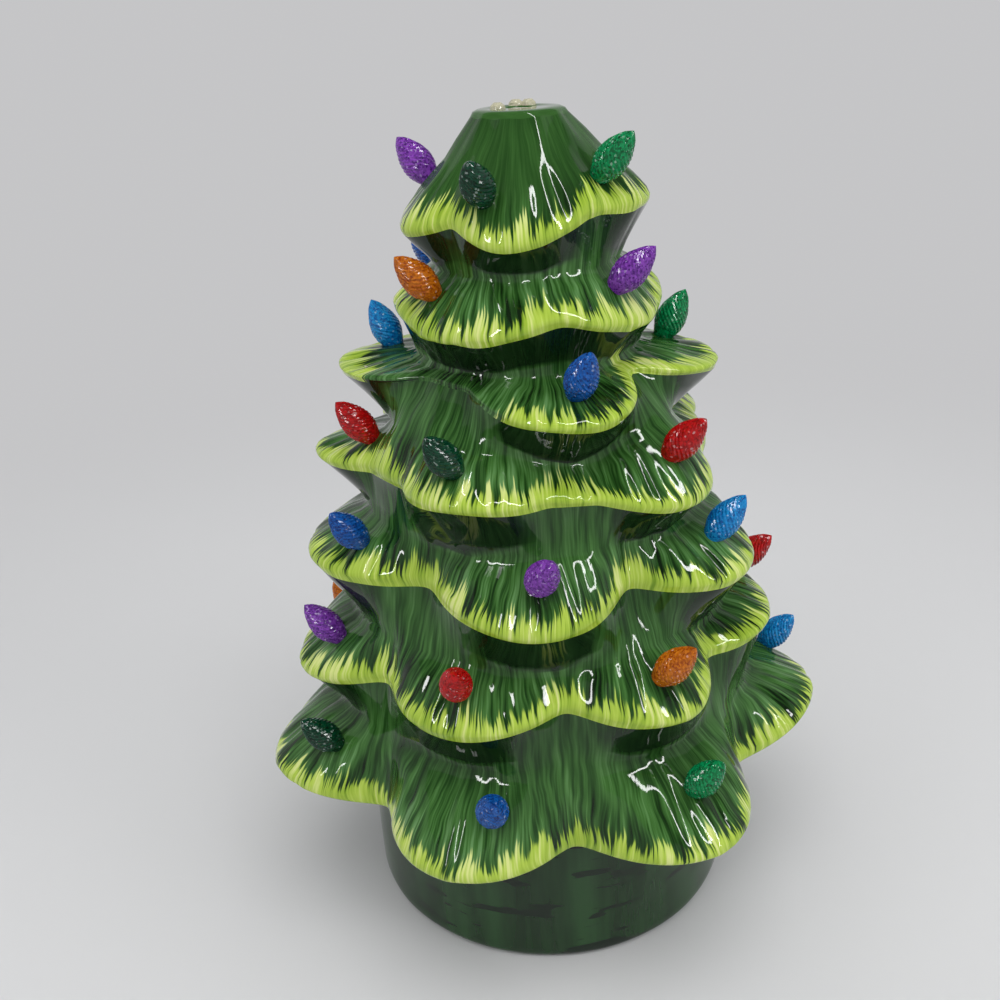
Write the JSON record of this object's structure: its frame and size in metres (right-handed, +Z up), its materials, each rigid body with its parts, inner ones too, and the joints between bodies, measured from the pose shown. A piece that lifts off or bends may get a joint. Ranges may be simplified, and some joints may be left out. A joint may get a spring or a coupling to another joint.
{
  "type": "ceramic christmas tree",
  "caption": "Hollow glazed ceramic christmas tree with tiers of drooping boughs and plastic bulbs, lifting off a round drum base that holds a battery light.",
  "frame": {"origin": "on the table under the middle of the drum", "axes": "+Z up along the tree, -Y towards the viewer"},
  "size_m": [0.246, 0.2454, 0.3522],
  "materials": {
    "tree_glaze": "deep green gloss glaze, lime brush strokes along the rims",
    "drum_glaze": "dark green gloss glaze",
    "dried_glue": "clear dried glue",
    "felt": "felt",
    "housing_plastic": "moulded satin white plastic",
    "post_plastic": "moulded white plastic",
    "board_laminate": "green solder mask",
    "led_lens": "clear warm white lens",
    "diffuser_plastic": "frosted translucent plastic",
    "wire_sleeve": "soft sleeve",
    "switch_case": "black moulded plastic",
    "switch_knob": "black moulded plastic",
    "screw_steel": "zinc plated",
    "contact_steel": "nickel plated spring steel",
    "cell_wrap": "plain printed sleeve, no marks",
    "bulb_purple": "clear coloured plastic with glitter",
    "bulb_dark_green": "clear coloured plastic with glitter",
    "bulb_green": "clear coloured plastic with glitter",
    "bulb_orange": "clear coloured plastic with glitter",
    "bulb_light_blue": "clear coloured plastic with glitter",
    "bulb_blue": "clear coloured plastic with glitter",
    "bulb_red": "clear coloured plastic with glitter"
  },
  "bodies": {
    "base": {"base_drum": "drum_glaze", "battery_cell_1": "cell_wrap", "battery_cell_2": "cell_wrap", "battery_cell_3": "cell_wrap", "battery_contacts": "contact_steel", "circuit_board": "board_laminate", "cover_screws": "screw_steel", "diffuser": "diffuser_plastic", "electronics_cover": "housing_plastic", "felt_ring": "felt", "led_board": "board_laminate", "led_post": "post_plastic", "led_wires": "wire_sleeve", "leds": "led_lens", "light_housing": "housing_plastic", "retaining_ring": "housing_plastic", "switch_body": "switch_case"},
    "tree": {"tree_shell": "tree_glaze", "topper_glue": "dried_glue", "bulb_tier1_a_purple": "bulb_purple", "bulb_tier1_b_dark_green": "bulb_dark_green", "bulb_tier1_c_green": "bulb_green", "bulb_tier1_d_red": "bulb_red", "bulb_tier2_a_orange": "bulb_orange", "bulb_tier2_b_purple": "bulb_purple", "bulb_tier2_c_red": "bulb_red", "bulb_tier2_d_blue": "bulb_blue", "bulb_tier3_a_light_blue": "bulb_light_blue", "bulb_tier3_b_blue": "bulb_blue", "bulb_tier3_c_green": "bulb_green", "bulb_tier3_d_orange": "bulb_orange", "bulb_tier4_a_red": "bulb_red", "bulb_tier4_b_dark_green": "bulb_dark_green", "bulb_tier4_c_red": "bulb_red", "bulb_tier4_d_purple": "bulb_purple", "bulb_tier4_e_light_blue": "bulb_light_blue", "bulb_tier4_f_green": "bulb_green", "bulb_tier5_a_blue": "bulb_blue", "bulb_tier5_b_purple": "bulb_purple", "bulb_tier5_c_light_blue": "bulb_light_blue", "bulb_tier5_d_orange": "bulb_orange", "bulb_tier5_e_red": "bulb_red", "bulb_tier6_a_purple": "bulb_purple", "bulb_tier6_b_red": "bulb_red", "bulb_tier6_c_orange": "bulb_orange", "bulb_tier6_d_red": "bulb_red", "bulb_tier6_e_blue": "bulb_blue", "bulb_tier6_f_green": "bulb_green", "bulb_tier6_g_red": "bulb_red", "bulb_tier7_a_dark_green": "bulb_dark_green", "bulb_tier7_b_blue": "bulb_blue", "bulb_tier7_c_green": "bulb_green", "bulb_tier7_d_light_blue": "bulb_light_blue", "bulb_tier7_e_red": "bulb_red", "bulb_tier7_f_purple": "bulb_purple", "bulb_tier7_g_orange": "bulb_orange"},
    "battery_door": {"battery_door": "housing_plastic"},
    "switch_slider": {"switch_slider": "switch_knob"}
  },
  "joints": [
    {"name": "tree_lift", "type": "slide", "parent": "base", "child": "tree", "axis": [0, 0, 1], "range_m": [0, 0.125]},
    {"name": "battery_door_slide", "type": "slide", "parent": "base", "child": "battery_door", "axis": [0, -1, 0], "range_m": [0, 0.026]},
    {"name": "switch_slide", "type": "slide", "parent": "base", "child": "switch_slider", "axis": [1, 0, 0], "range_m": [-0.002, 0.002]}
  ]
}
